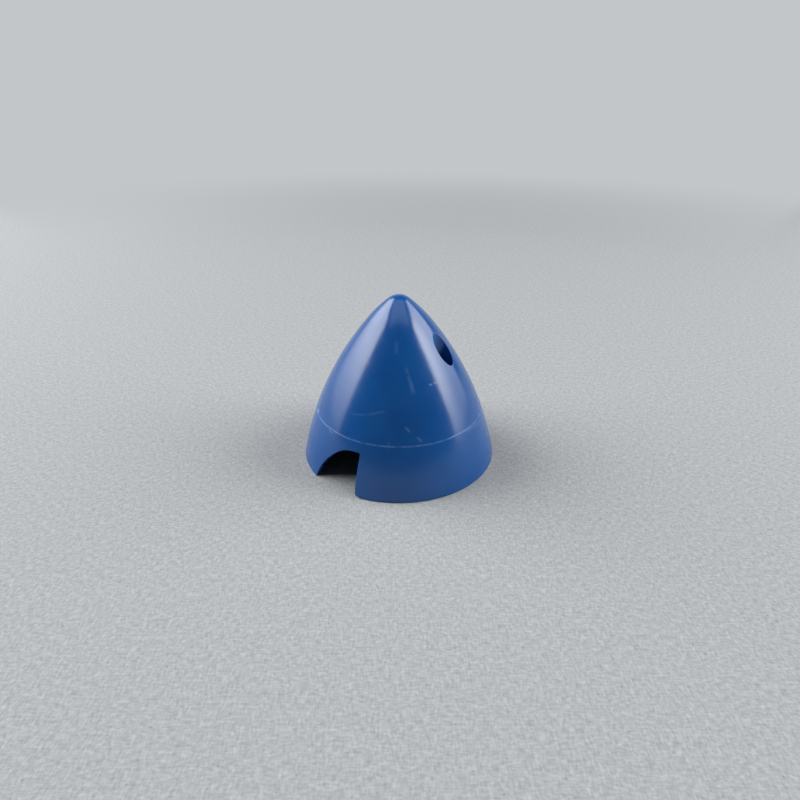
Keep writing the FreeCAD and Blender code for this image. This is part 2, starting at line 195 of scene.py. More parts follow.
@dataclass(frozen=True)
class Ogive:
    """Half section of the cone: a drafted band, a long flank, a shoulder and a round nose."""

    base_diameter: float = 57.0
    height: float = 48.4
    band_height: float = 3.0
    band_draft: float = 13.5
    shoulder_radius: float = 41.0
    nose_radius: float = 4.6
    nose_half_angle: float = 39.4
    wall: float = 1.6

    def arcs(self, inset: float = 0.0) -> list[SectionArc]:
        """Flank, shoulder and nose arcs, moved inwards by an inset."""
        draft = math.radians(self.band_draft)
        cap = math.radians(90.0 - self.nose_half_angle)
        band = (self.base_diameter / 2 - self.band_height * math.tan(draft), self.band_height)
        nose_up = self.height - self.nose_radius
        reach = self.shoulder_radius - self.nose_radius
        shoulder = (-reach * math.cos(cap), nose_up - reach * math.sin(cap))
        across, up = band[0] - shoulder[0], band[1] - shoulder[1]
        along = across * math.cos(draft) + up * math.sin(draft)
        radius = (across**2 + up**2 - self.shoulder_radius**2) / (2 * (along - self.shoulder_radius))
        flank = (band[0] - radius * math.cos(draft), band[1] - radius * math.sin(draft))
        meet = math.atan2(shoulder[1] - flank[1], shoulder[0] - flank[0])
        return [
            SectionArc(*flank, radius - inset, draft, meet),
            SectionArc(*shoulder, self.shoulder_radius - inset, meet, cap),
            SectionArc(0.0, nose_up, self.nose_radius - inset, cap, math.pi / 2),
        ]

    def band_radius(self, height: float | np.ndarray, inset: float) -> float | np.ndarray:
        """Radius of the inset band at a height, or at each of an array of heights."""
        draft = math.radians(self.band_draft)
        return self.base_diameter / 2 - inset / math.cos(draft) - height * math.tan(draft)

    def radius_at(self, height: float, inset: float = 0.0) -> float:
        """Radius of the inset section at a height; the band runs on below the rim."""
        arcs = self.arcs(inset)
        if height <= arcs[0].point(arcs[0].start)[1]:
            return self.band_radius(height, inset)
        for arc in arcs:
            if height <= arc.point(arc.end)[1] + NEARLY_ZERO:
                return arc.across + math.sqrt(max(arc.radius**2 - (height - arc.up)**2, 0.0))
        return 0.0

    def height_at(self, radius: float, inset: float = 0.0) -> float:
        """Height of the inset section at a distance from the axis, above the band."""
        for arc in reversed(self.arcs(inset)):
            if radius <= arc.point(arc.start)[0] + NEARLY_ZERO:
                return arc.up + math.sqrt(max(arc.radius**2 - (radius - arc.across)**2, 0.0))
        return 0.0

    def curve(self, inset: float, steps: Sequence[int]) -> list[Point]:
        """Points up the inset section's arcs to the tip, with so many steps for each arc."""
        points = []
        for arc, count in zip(self.arcs(inset), steps):
            points += arc.points(count)[:-1]
        return points + [(0.0, self.height - inset)]


@dataclass(frozen=True)
class RimAndSeam:
    """What the plain section gains: the rounded rim edge and the flash on the parting plane."""

    rim_round: float = 0.3
    rim_steps: int = 6
    seam_height: float = 15.1
    seam_proud: float = 0.05
    seam_width: float = 0.56
    seam_crest: float = 0.75
    seam_gap: float = 0.1
    seam_steps: int = 8
    band_levels: tuple[float, ...] = (0.9, 1.6, 2.3)
    arc_steps: tuple[int, ...] = (58, 22, 14)

    def outline(self, ogive: Ogive) -> list[Point]:
        """Outer half section from the axis at the rim plane to the tip of the nose.

        Args:
            ogive: the plain section.

        Returns:
            Points as radius and height, in millimetres.
        """
        draft = math.radians(ogive.band_draft)
        inward = self.rim_round * math.tan((math.pi / 2 + draft) / 2)
        rim = SectionArc(ogive.base_diameter / 2 - inward, self.rim_round, self.rim_round,
                         -math.pi / 2, draft)
        points = [(0.0, 0.0)] + rim.points(self.rim_steps)
        points += [(ogive.radius_at(height), height) for height in self.band_levels]
        plain = ogive.curve(0.0, self.arc_steps)
        reach = self.seam_width / 2 + self.seam_gap
        below = [point for point in plain if point[1] < self.seam_height - reach]
        above = [point for point in plain if point[1] > self.seam_height + reach]
        return points + below + self.flash(ogive) + above

    def flash(self, ogive: Ogive) -> list[Point]:
        """Rounded ridge across the parting plane, as points up the section."""
        ridge = []
        for step in range(self.seam_steps + 1):
            across = share(-1.0, 1.0, step / self.seam_steps)
            height = self.seam_height + across * self.seam_width / 2
            proud = self.seam_proud * math.cos(across * math.pi / 2)**self.seam_crest
            ridge.append((ogive.radius_at(height) + proud, height))
        return ridge


# ------------------------ cutting tools

@dataclass(frozen=True)
class RoundedLip:
    """Section of a cutter's flare, which leaves a rounded edge where it breaks the surface.

    The angles are degrees round the edge: where the flare starts, and where it meets the skin.
    """

    steps: int = 7
    lead_in: float = 4.0
    skin_angle: float = 22.0

    def levels(self) -> list[Point]:
        """Pairs of offset and depth as shares of the round's radius, from above the surface down."""
        rise = 1.0 - math.cos(math.radians(self.skin_angle))
        angles = [share(math.radians(self.lead_in), math.pi / 2, step / self.steps)
                  for step in range(self.steps + 1)]
        return [(1.0 - math.sin(angle), 1.0 - math.cos(angle) - rise) for angle in angles]


@dataclass(frozen=True)
class BladeCutout:
    """The opening in the rim for a blade root: straight on one side, sloping on the other."""

    bearing: float = 104.9
    height: float = 12.2
    edge: float = 7.2
    flat: float = 1.8
    crown_radius: float = 8.3
    crown_sweep: float = 36.4
    flank_radius: float = 21.4
    foot_radius: float = 1.3
    corner_radius: float = 0.45
    overrun: float = 4.0
    lip: float = 0.3
    lip_at_foot: float = 1.25
    lip_at_top: float = 0.4
    lip_growth: float = 0.8
    core_radius: float = 4.0
    shortest: float = 0.01
    foot_steps: int = 8
    side_steps: int = 12
    corner_steps: int = 5
    crown_steps: int = 14
    flank_steps: int = 30

    def arcs(self) -> tuple[SectionArc, SectionArc, SectionArc, SectionArc]:
        """The foot, the top corner, the crown and the sloping flank, in order round the opening."""
        sweep = math.radians(self.crown_sweep)
        crown = (self.edge - self.flat, self.height - self.crown_radius)
        grow = self.flank_radius - self.crown_radius
        flank = (crown[0] + grow * math.sin(sweep), crown[1] - grow * math.cos(sweep))
        return (
            SectionArc(self.edge + self.foot_radius, self.foot_radius, self.foot_radius,
                       1.5 * math.pi, math.pi),
            SectionArc(self.edge - self.corner_radius, self.height - self.corner_radius,
                       self.corner_radius, 0.0, math.pi / 2),
            SectionArc(*crown, self.crown_radius, math.pi / 2, math.pi / 2 + sweep),
            SectionArc(*flank, self.flank_radius, math.pi / 2 + sweep,
                       math.pi - math.asin(-flank[1] / self.flank_radius)),
        )

    def outline(self) -> list[tuple[float, float, float]]:
        """Closed outline, each point with the radius of its rounded outer edge."""
        foot, corner, crown, flank = self.arcs()
        points = [(self.edge + self.foot_radius, -self.overrun, self.lip)]
        points += [(*point, self.lip_at_foot) for point in foot.points(self.foot_steps)]
        for step in range(1, self.side_steps + 1):
            rise = step / self.side_steps
            lip = share(self.lip_at_foot, self.lip_at_top, rise**self.lip_growth)
            points.append((self.edge, share(self.foot_radius, corner.up, rise), lip))
        for step, point in enumerate(corner.points(self.corner_steps)[1:], start=1):
            points.append((*point, share(self.lip_at_top, self.lip, step / self.corner_steps)))
        for point in crown.points(self.crown_steps) + flank.points(self.flank_steps):
            if math.dist(point, points[-1][:2]) > self.shortest:
                points.append((*point, self.lip))
        points.append((points[-1][0], -self.overrun, self.lip))
        return points

    def cutter(self, ogive: Ogive) -> bpy.types.Object:
        """Solid that cuts one opening, flared where it leaves the surface.

        Args:
            ogive: the section that it cuts.

        Returns:
            The cutter for the opening on the -Y side.
        """
        outline = self.outline()
        corners = np.array([point[:2] for point in outline])
        lips = np.array([point[2] for point in outline])
        before, after = np.roll(corners, 1, axis=0), np.roll(corners, -1, axis=0)
        sides = [side / np.linalg.norm(side, axis=1, keepdims=True)
                 for side in (corners - before, after - corners)]
        normals = [np.stack([side[:, 1], -side[:, 0]], axis=1) for side in sides]
        outward = normals[0] + normals[1]
        outward /= (1.0 + np.einsum("ij,ij->i", *normals))[:, None]

        angle = -math.radians(self.bearing)
        along = np.array([math.cos(angle), math.sin(angle)])
        aside = np.array([-along[1], along[0]])

        def ring(offset: float, depth: float | None) -> list[tuple[float, float, float]]:
            """Outline grown by a share of its lip, laid at a depth under the surface."""
            placed = corners + outward * (lips * offset)[:, None]
            points = []
            for (across, height), lip in zip(placed, lips):
                if depth is None:
                    reach = ogive.base_diameter
                else:
                    radius = ogive.radius_at(height, depth * lip)
                    reach = math.sqrt(radius**2 - across**2)
                flat = along * reach + aside * across
                points.append((flat[0], flat[1], height))
            return points

        levels = RoundedLip().levels()
        rings = [ring(levels[0][0], None)] + [ring(*level) for level in levels]
        start = [(*(along * self.core_radius + aside * across), height)
                 for across, height in corners]
        return loft_rings("cutout_tool", rings + [start])


@dataclass(frozen=True)
class ScrewWell:
    """Well for a pan-head screw, with the screw's hole through its floor."""

    circle: float = 26.7
    diameter: float = 5.6
    floor_height: float = 4.5
    hole_diameter: float = 3.2
    hole_from: float = 1.0
    lip: float = 0.22
    overrun: float = 10.0
    sides: int = 72

    def cutter(self, ogive: Ogive) -> bpy.types.Object:
        """Solid that cuts the well and hole on the +X side.

        Args:
            ogive: the section that it cuts.

        Returns:
            The cutter, flared where it leaves the surface.
        """
        centre = self.circle / 2
        angles = [2 * math.pi * side / self.sides for side in range(self.sides)]

        def ring(radius: float, height: float) -> list[tuple[float, float, float]]:
            """Level ring at a height."""
            return [(centre + radius * math.cos(a), radius * math.sin(a), height) for a in angles]

        def mouth(offset: float, depth: float) -> list[tuple[float, float, float]]:
            """Ring that follows the surface at a depth under it."""
            radius = self.diameter / 2 + offset * self.lip
            points = []
            for a in angles:
                x, y = centre + radius * math.cos(a), radius * math.sin(a)
                points.append((x, y, ogive.height_at(math.hypot(x, y), depth * self.lip)))
            return points

        levels = RoundedLip().levels()
        rings = [ring(self.hole_diameter / 2, self.hole_from),
                 ring(self.hole_diameter / 2, self.floor_height),
                 ring(self.diameter / 2, self.floor_height)]
        rings += [mouth(*level) for level in reversed(levels)]
        rings.append(ring(self.diameter / 2 + levels[0][0] * self.lip, ogive.height + self.overrun))
        return loft_rings("well_tool", rings)


# ------------------------ node trees

class Ease(Enum):
    """How a ramp runs between its two ends."""

    SMOOTH = "SMOOTHSTEP"
    STRAIGHT = "LINEAR"


class NodeBuilder:
    """Adds nodes to a tree and links them."""

    def __init__(self, tree: bpy.types.NodeTree) -> None:
        """Wrap a tree."""
        self.tree = tree

    def add(self, kind: str, links: Links | None = None, **settings: object) -> bpy.types.Node:
        """Add a node.

        Args:
            kind: the node's type name.
            links: for each input, a socket to link or a value to set.
            settings: attributes to set on the node first.

        Returns:
            The node.
        """
        node = self.tree.nodes.new(kind)
        for label, value in settings.items():
            setattr(node, label, value)
        for label, value in (links or {}).items():
            if isinstance(value, Socket):
                self.tree.links.new(value, node.inputs[label])
            else:
                node.inputs[label].default_value = value
        return node

    def math(self, operation: str, *values: object) -> Socket:
        """Add a Math node and return its result."""
        return self.add("ShaderNodeMath", dict(enumerate(values)), operation=operation).outputs[0]

    def ramp(self, value: Socket, low: float, high: float, start: float = 0.0, end: float = 1.0,
             ease: Ease = Ease.SMOOTH) -> Socket:
        """Run a value from start, where it is low or under, to end, where it is high or over.

        Args:
            value: the value.
            low: where the change begins.
            high: where it is complete.
            start: the result at low.
            end: the result at high.
            ease: whether it runs smoothly or straight.

        Returns:
            The result.
        """
        return self.add("ShaderNodeMapRange", {
            "Value": value, "From Min": low, "From Max": high, "To Min": start, "To Max": end},
            interpolation_type=ease.value).outputs[0]


class GeometryTree(NodeBuilder):
    """A Geometry Nodes tree with named inputs and one geometry as its result."""

    def __init__(self, name: str, inputs: dict[str, str]) -> None:
        """Start a tree.

        Args:
            name: the tree's name.
            inputs: the kind of each input, by its name.
        """
        super().__init__(bpy.data.node_groups.new(name, "GeometryNodeTree"))
        made = self.tree.interface
        made.new_socket("Geometry", in_out="OUTPUT", socket_type="NodeSocketGeometry")
        for label, kind in inputs.items():
            made.new_socket(label, in_out="INPUT", socket_type=f"NodeSocket{kind}")
        self.inputs = self.tree.nodes.new("NodeGroupInput").outputs
        self.output = self.tree.nodes.new("NodeGroupOutput").inputs[0]

    def group(self, shape: bpy.types.GeometryNodeTree, links: Links) -> Socket:
        """Add a smaller tree and return its geometry."""
        return self.add("GeometryNodeGroup", links, node_tree=shape).outputs[0]

    def finish(self, socket: Socket) -> bpy.types.GeometryNodeTree:
        """Link the last geometry to the output and return the tree."""
        self.tree.links.new(socket, self.output)
        return self.tree


def turned_solid_tree() -> bpy.types.GeometryNodeTree:
    """Tree that turns the points of a half section round the Z axis into a closed solid."""
    tree = GeometryTree("turned_solid", {"Section": "Geometry", "Points": "Int", "Sides": "Int"})
    around = tree.math("ADD", tree.inputs["Sides"], 1.0)
    grid = tree.add("GeometryNodeMeshGrid", {
        "Vertices X": tree.inputs["Points"], "Vertices Y": around})
    index = tree.add("GeometryNodeInputIndex").outputs[0]
    column = tree.math("FLOOR", tree.math("DIVIDE", tree.math("ADD", index, 0.5), around))
    row = tree.math("SUBTRACT", index, tree.math("MULTIPLY", column, around))
    place = tree.add("GeometryNodeInputPosition").outputs[0]
    sample = tree.add("GeometryNodeSampleIndex", {
        "Geometry": tree.inputs["Section"], "Value": place, "Index": column},
        data_type="FLOAT_VECTOR")
    angle = tree.math("DIVIDE", tree.math("MULTIPLY", row, 2 * math.pi), tree.inputs["Sides"])
    turned = tree.add("ShaderNodeVectorRotate", {"Vector": sample.outputs[0], "Angle": angle},
                      rotation_type="Z_AXIS")
    placed = tree.add("GeometryNodeSetPosition", {
        "Geometry": grid.outputs["Mesh"], "Position": turned.outputs[0]})
    merged = tree.add("GeometryNodeMergeByDistance", {
        "Geometry": placed.outputs[0], "Distance": MERGE_DISTANCE})
    outward = tree.add("GeometryNodeFlipFaces", {"Mesh": merged.outputs[0]})
    return tree.finish(outward.outputs[0])


def repeat_tree() -> bpy.types.GeometryNodeTree:
    """Tree that repeats a tool evenly round the Z axis."""
    tree = GeometryTree("repeat_round_axis", {"Tool": "Geometry", "Count": "Int"})
    spots = tree.add("GeometryNodeMeshLine", {
        "Count": tree.inputs["Count"], "Offset": (0.0, 0.0, 0.0)})
    index = tree.add("GeometryNodeInputIndex").outputs[0]
    angle = tree.math("DIVIDE", tree.math("MULTIPLY", index, 2 * math.pi), tree.inputs["Count"])
    turn = tree.add("FunctionNodeAxisAngleToRotation", {"Axis": (0.0, 0.0, 1.0), "Angle": angle})
    copies = tree.add("GeometryNodeInstanceOnPoints", {
        "Points": spots.outputs[0], "Instance": tree.inputs["Tool"], "Rotation": turn.outputs[0]})
    real = tree.add("GeometryNodeRealizeInstances", {"Geometry": copies.outputs[0]})
    return tree.finish(real.outputs[0])


def moulding_tree(turned: bpy.types.GeometryNodeTree,
                  repeat: bpy.types.GeometryNodeTree) -> bpy.types.GeometryNodeTree:
    """Tree of the whole moulding: the turned form, less the core, the wells and the openings.

    Args:
        turned: tree that turns a half section.
        repeat: tree that repeats a tool round the axis.

    Returns:
        The tree.
    """
    tree = GeometryTree("cone_moulding", {
        "Section": "Geometry", "Section Points": "Int",
        "Core Section": "Object", "Core Points": "Int",
        "Well Tool": "Object", "Opening Tool": "Object",
        "Sides": "Int", "Blades": "Int", "Screw Radius": "Float",
        "Post Radius": "Float", "Post Draft": "Float", "Post Start": "Float",
        "Rib Thickness": "Float", "Rib Start": "Float", "Rib Reach": "Float",
        "Top": "Float", "Material": "Material",
    })
    given = tree.inputs

    def from_object(label: str) -> Socket:
        """Geometry of an object given as an input."""
        return tree.add("GeometryNodeObjectInfo", {"Object": given[label]}).outputs["Geometry"]

    def middle(first: str, second: str) -> Socket:
        """Half the sum of two inputs."""
        return tree.math("MULTIPLY", tree.math("ADD", given[first], given[second]), 0.5)

    def moved(shape: bpy.types.Node, **centre: Socket) -> Socket:
        """Mesh of a shape's node, moved by a centre's X and Z."""
        place = tree.add("ShaderNodeCombineXYZ", centre).outputs[0]
        return tree.add("GeometryNodeTransform", {
            "Geometry": shape.outputs["Mesh"], "Translation": place}).outputs[0]

    def cut(body: Socket, *tools: Socket) -> Socket:
        """Body less the tools, one after another."""
        for tool in tools:
            body = tree.add("GeometryNodeMeshBoolean", {"Mesh 1": body, "Mesh 2": tool},
                            operation="DIFFERENCE", solver="MANIFOLD").outputs[0]
        return body

    length = tree.math("SUBTRACT", given["Top"], given["Post Start"])
    spread = tree.math("MULTIPLY", length, tree.math("TANGENT", given["Post Draft"]))
    post = tree.add("GeometryNodeMeshCone", {
        "Vertices": POST_SIDES, "Radius Top": tree.math("ADD", given["Post Radius"], spread),
        "Radius Bottom": given["Post Radius"], "Depth": length})
    rib_size = tree.add("ShaderNodeCombineXYZ", {
        "X": tree.math("SUBTRACT", given["Rib Reach"], given["Screw Radius"]),
        "Y": given["Rib Thickness"],
        "Z": tree.math("SUBTRACT", given["Top"], given["Rib Start"])})
    rib = tree.add("GeometryNodeMeshCube", {"Size": rib_size.outputs[0]})
    tools = (
        moved(post, X=given["Screw Radius"], Z=given["Post Start"]),
        moved(rib, X=middle("Rib Reach", "Screw Radius"), Z=middle("Top", "Rib Start")),
        from_object("Well Tool"),
        from_object("Opening Tool"),
    )
    repeats = [tree.group(repeat, {"Tool": tool, "Count": given["Blades"]}) for tool in tools]
    form = tree.group(turned, {
        "Section": given["Section"], "Points": given["Section Points"], "Sides": given["Sides"]})
    core = tree.group(turned, {
        "Section": from_object("Core Section"), "Points": given["Core Points"],
        "Sides": given["Sides"]})
    moulding = cut(form, cut(core, *repeats[:2]), *repeats[2:])
    real = tree.add("GeometryNodeRealizeInstances", {"Geometry": moulding})
    dressed = tree.add("GeometryNodeSetMaterial", {
        "Geometry": real.outputs[0], "Material": given["Material"]})
    return tree.finish(dressed.outputs[0])


# ------------------------ finishes

class Shader(NodeBuilder):
    """A material's tree."""

    def __init__(self, name: str) -> None:
        """Start an empty material with an output node."""
        self.material = bpy.data.materials.new(name)
        self.material.use_nodes = True
        super().__init__(self.material.node_tree)
        self.tree.nodes.clear()
        self.output = self.tree.nodes.new("ShaderNodeOutputMaterial")

    def blend(self, factor: object, first: object, second: object) -> Socket:
        """Add a Mix node and return its result; its colour sockets are inputs 6 and 7, output 2."""
        return self.add("ShaderNodeMix", {0: factor, 6: first, 7: second}, data_type="RGBA").outputs[2]

    def noise(self, place: Socket, scale: float, detail: float) -> Socket:
        """Add a Noise Texture node and return its value."""
        return self.add("ShaderNodeTexNoise", {
            "Vector": place, "Scale": scale, "Detail": detail}).outputs["Fac"]

    def press(self, surface: bpy.types.Node, height: Socket, strength: float,
              distance: float) -> None:
        """Give a surface a bump, its distance in metres."""
        bump = self.add("ShaderNodeBump", {
            "Height": height, "Strength": strength, "Distance": distance})
        self.tree.links.new(bump.outputs[0], surface.inputs["Normal"])

    def finish(self, surface: bpy.types.Node) -> bpy.types.Material:
        """Link the surface to the output and return the material."""
        self.tree.links.new(surface.outputs[0], self.output.inputs["Surface"])
        return self.material


@dataclass(frozen=True)
class Grain:
    """A noise, with its scale per metre or thread, its detail, and the values it runs between."""

    scale: float
    detail: float
    low: float = 0.0
    high: float = 1.0

    def for_thread(self, width: float) -> "Grain":
        """The grain of a cloth whose thread has a width in metres, its scale being per thread."""
        return replace(self, scale=self.scale / width)

    def value(self, shader: Shader, place: Socket) -> Socket:
        """The plain noise at a place."""
        return shader.noise(place, self.scale, self.detail)

    def mask(self, shader: Shader, place: Socket) -> Socket:
        """Nought where the noise is low, one where it is high, and smooth between."""
        return shader.ramp(self.value(shader, place), self.low, self.high)


@dataclass(frozen=True)
class Scuff:
    """A rubbed stroke on the skin, from one bearing and height to another, and how strong it is.

    Its tone fades across it over its width, and along it between two shares of its length.
    """

    start: Point
    end: Point
    width: float
    strength: float
    spread: float = 0.8
    fade: tuple[float, float] = (0.2, 0.56)

    def mask(self, shader: Shader, bearing: Socket, height: Socket, ogive: Ogive) -> Socket:
        """Share of the scuff's tone at a place on the skin.

        Args:
            shader: the material's tree.
            bearing: bearing round the axis, in radians from the -Y side.
            height: height over the rim, in metres.
            ogive: the section of the skin.

        Returns:
            The share, nought away from the stroke.
        """
        radius = ogive.radius_at((self.start[1] + self.end[1]) / 2) * MM
        turn = [math.radians(point[0]) for point in (self.start, self.end)]
        rise = [point[1] * MM for point in (self.start, self.end)]
        run = ((turn[1] - turn[0]) * radius, rise[1] - rise[0])
        length = math.hypot(*run)
        way = (run[0] / length, run[1] / length)
        u = shader.math("MULTIPLY", shader.math("SUBTRACT", bearing, sum(turn) / 2), radius)
        v = shader.math("SUBTRACT", height, sum(rise) / 2)
        along = shader.math("MULTIPLY_ADD", u, way[0], shader.math("MULTIPLY", v, way[1]))
        aside = shader.math("MULTIPLY_ADD", v, way[0], shader.math("MULTIPLY", u, -way[1]))
        return shader.math(
            "MULTIPLY",
            shader.ramp(shader.math("ABSOLUTE", aside), 0.0, self.width * self.spread * MM,
                        self.strength, 0.0),
            shader.ramp(shader.math("ABSOLUTE", along), length * self.fade[0],
                        length * self.fade[1], 1.0, 0.0))


@dataclass(frozen=True)
class MouldedNylon:
    """Glossy blue nylon as it leaves the mould, a little handled."""

    colour: Colour = (0.005, 0.072, 0.262, 1.0)
    deep: Colour = (0.004, 0.063, 0.24, 1.0)
    rubbed: Colour = (0.2, 0.33, 0.56, 1.0)
    # pale tone painted along the flash ridge: a painted highlight of the ridge catching the light
    flash: Colour = (0.06, 0.18, 0.46, 1.0)
    refraction: float = 1.53
    roughness: tuple[float, float] = (0.17, 0.225)
    worn_roughness: float = 0.3
    clouds: Grain = Grain(75.0, 3.0, 0.35, 0.65)
    haze: Grain = Grain(260.0, 4.0, 0.3, 0.7)
    sink: Grain = Grain(120.0, 2.0)
    sink_strength: float = 0.12
    sink_depth: float = 0.4
    patches: Grain = Grain(900.0, 2.0, 0.2, 0.55)
    hairs: Grain = Grain(1.0, 1.0, 0.7, 0.8)
    hair_tilt: tuple[float, float, float] = (0.5, 0.9, 0.3)
    hair_stretch: tuple[float, float, float] = (1500.0, 60.0, 60.0)
    hair_tone: float = 0.05
    ragged: Grain = Grain(330.0, 3.0, 0.35, 0.65)
    # edge, tone and least strength of the painted highlight along the parting ridge
    flash_edge: tuple[float, float] = (0.08, 0.34)
    flash_highlight_tone: float = 0.62
    flash_least: float = 0.35
    scuffs: tuple[Scuff, ...] = (
        Scuff((22.7, 39.6), (23.3, 36.2), 1.0, 0.09),
        Scuff((33.2, 34.0), (36.6, 30.2), 0.9, 0.14),
        Scuff((35.6, 31.4), (39.2, 27.2), 1.1, 0.19),
        Scuff((53.0, 29.1), (57.0, 28.8), 0.5, 0.40),
        Scuff((57.6, 29.2), (62.0, 28.9), 0.5, 0.28),
        Scuff((-11.5, 21.0), (5.5, 22.3), 0.6, 0.09),
        Scuff((1.5, 22.0), (17.4, 23.7), 0.6, 0.12),
        Scuff((30.2, 20.0), (34.0, 18.6), 0.7, 0.21),
        Scuff((38.0, 17.4), (41.4, 15.8), 0.7, 0.21),
        Scuff((20.0, 16.6), (20.2, 14.2), 0.5, 0.15),
        Scuff((-52.0, 15.4), (-48.0, 15.5), 1.0, 0.94),
        Scuff((-27.0, 14.6), (-21.0, 14.5), 0.6, 0.22),
        Scuff((73.0, 14.8), (99.0, 13.8), 0.6, 0.20),
        Scuff((148.0, 31.0), (153.0, 27.5), 0.4, 0.22),
        Scuff((-118.0, 24.0), (-104.0, 23.0), 0.35, 0.18),
        Scuff((-160.0, 9.5), (-154.0, 7.0), 0.4, 0.22),
    )

    def material(self, ogive: Ogive, skin: RimAndSeam) -> bpy.types.Material:
        """Build the material.

        Args:
            ogive: the section of the skin that the scuffs lie on.
            skin: the height of the parting line that the painted highlight along the flash lies on.

        Returns:
            The finished material.
        """
        shader = Shader("moulded_nylon")
        place = shader.add("ShaderNodeTexCoord").outputs["Object"]
        spot = shader.add("ShaderNodeSeparateXYZ", {"Vector": place}).outputs
        bearing = shader.math("ARCTAN2", spot["X"], shader.math("MULTIPLY", spot["Y"], -1.0))
        worn = self.worn(shader, place, bearing, spot["Z"], ogive)
        # the flash ridge is real geometry; the pale line painted along it is a painted highlight
        flash = self.flash_highlight_line(shader, place, spot["Z"], skin.seam_height)
        colour = shader.blend(self.clouds.mask(shader, place), self.deep, self.colour)
        colour = shader.blend(worn, colour, self.rubbed)
        colour = shader.blend(flash, colour, self.flash)
        haze = shader.ramp(self.haze.value(shader, place), self.haze.low, self.haze.high,
                           *self.roughness, ease=Ease.STRAIGHT)
        rough = shader.math("MULTIPLY_ADD", shader.math("MAXIMUM", worn, flash),
                            self.worn_roughness, haze)
        surface = shader.add("ShaderNodeBsdfPrincipled", {
            "Base Color": colour, "Roughness": rough, "IOR": self.refraction})
        shader.press(surface, self.sink.value(shader, place), self.sink_strength,
                     self.sink_depth * MM)
        return shader.finish(surface)

    def worn(self, shader: Shader, place: Socket, bearing: Socket, height: Socket,
             ogive: Ogive) -> Socket:
        """Where the skin is whitened: its scuffs and hairlines.

        Args:
            shader: the material's tree.
            place: place on the part.
            bearing: bearing round the axis, in radians.
            height: height over the rim, in metres.
            ogive: the section of the skin.

        Returns:
            The share of the whitened tone.
        """
        masks = [scuff.mask(shader, bearing, height, ogive) for scuff in self.scuffs]
        total = functools.reduce(lambda first, second: shader.math("MAXIMUM", first, second), masks)
        total = shader.math("MULTIPLY", total, self.patches.mask(shader, place))
        drawn = shader.add("ShaderNodeMapping", {
            "Vector": place, "Rotation": self.hair_tilt, "Scale": self.hair_stretch}).outputs[0]
        hairs = shader.math("MULTIPLY", self.hairs.mask(shader, drawn), self.hair_tone)
        return shader.math("MAXIMUM", total, hairs)

    def flash_highlight_line(self, shader: Shader, place: Socket, height: Socket, seam: float) -> Socket:
        """Uneven pale line painted along the flash on the parting plane: the ridge is real, its pale
        tone is a painted highlight of the ridge catching the light.

        Args:
            shader: the material's tree.
            place: place on the part.
            height: height over the rim, in metres.
            seam: height of the parting plane, in millimetres.

        Returns:
            The share of the painted highlight's tone.
        """
        away = shader.math("ABSOLUTE", shader.math("SUBTRACT", height, seam * MM))
        line = shader.ramp(away, self.flash_edge[0] * MM, self.flash_edge[1] * MM,
                           self.flash_highlight_tone, 0.0)
        uneven = shader.math("MULTIPLY_ADD", self.ragged.mask(shader, place),
                             1.0 - self.flash_least, self.flash_least)
        return shader.math("MULTIPLY", line, uneven)


